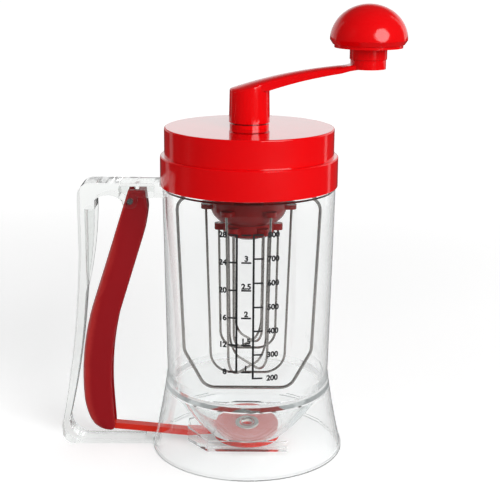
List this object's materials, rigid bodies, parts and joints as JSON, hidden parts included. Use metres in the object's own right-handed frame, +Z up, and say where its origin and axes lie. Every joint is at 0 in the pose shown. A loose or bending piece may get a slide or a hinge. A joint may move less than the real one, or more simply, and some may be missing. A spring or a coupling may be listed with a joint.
{
  "type": "batter dispenser",
  "caption": "Clear batter jug with a hand-cranked wire whisk under a red lid, a side handle and a trigger that slides a round valve under the funnel.",
  "frame": {"origin": "centre of the base ring on the jug's axis, at the surface it stands on", "axes": "+Z up the jug's axis, +X towards the crank's knob, handle towards -X"},
  "size_m": [0.2055, 0.1172, 0.2696],
  "materials": {
    "clear_plastic": "clear moulded plastic",
    "gloss_red": "high gloss",
    "trigger_red": "satin gloss",
    "gate_red": "gloss",
    "hub_red": "gloss",
    "steel": "bright",
    "wire_steel": "polished",
    "seal_rubber": "matt",
    "bush_plastic": "matt"
  },
  "bodies": {
    "jug_unit": {"jug": "clear_plastic", "handle": "clear_plastic", "outlet_seal": "seal_rubber", "valve_guide": "clear_plastic", "pivot_pin": "steel", "return_spring": "steel"},
    "trigger_unit": {"trigger": "trigger_red", "link_pin": "trigger_red"},
    "gate_unit": {"gate": "gate_red"},
    "lid_unit": {"lid": "gloss_red", "lid_gasket": "seal_rubber", "shaft_bush": "bush_plastic"},
    "mixer": {"shaft_washer": "steel", "shaft_clip": "steel", "drive_shaft": "steel", "crank": "gloss_red", "knob_spindle": "steel", "push_nut": "steel", "upper_hub": "hub_red", "lower_hub": "hub_red", "whisk_screw": "steel", "outer_wire": "wire_steel", "mid_wire_1": "wire_steel", "mid_wire_2": "wire_steel", "mid_wire_3": "wire_steel", "inner_wire_1": "wire_steel", "inner_wire_2": "wire_steel", "inner_wire_3": "wire_steel"},
    "knob": {"knob_core": "gloss_red", "knob_dome": "gloss_red"}
  },
  "joints": [
    {"name": "trigger_release", "type": "hinge", "parent": "jug_unit", "child": "trigger_unit", "pos_m": [-0.0698, 0, 0.1551], "axis": [0, -1, 0], "range_deg": [0, 4.89], "stiffness_Nm_per_rad": 0.6, "springref_deg": 28.65},
    {"name": "gate_slide", "type": "slide", "parent": "jug_unit", "child": "gate_unit", "axis": [1, 0, 0], "range_m": [0, 0.0121]},
    {"name": "lid_lift", "type": "slide", "parent": "jug_unit", "child": "lid_unit", "axis": [0, 0, 1], "range_m": [0, 0.155]},
    {"name": "crank_turn", "type": "hinge", "parent": "lid_unit", "child": "mixer", "pos_m": [0, 0, 0.2], "axis": [0, 0, 1], "continuous": true},
    {"name": "knob_spin", "type": "hinge", "parent": "mixer", "child": "knob", "pos_m": [0.0684, 0, 0.24], "axis": [0, 0, 1], "continuous": true}
  ],
  "couplings": [
    {"joint": "gate_slide", "follows": "trigger_release", "m_per_rad": 0.1405}
  ]
}
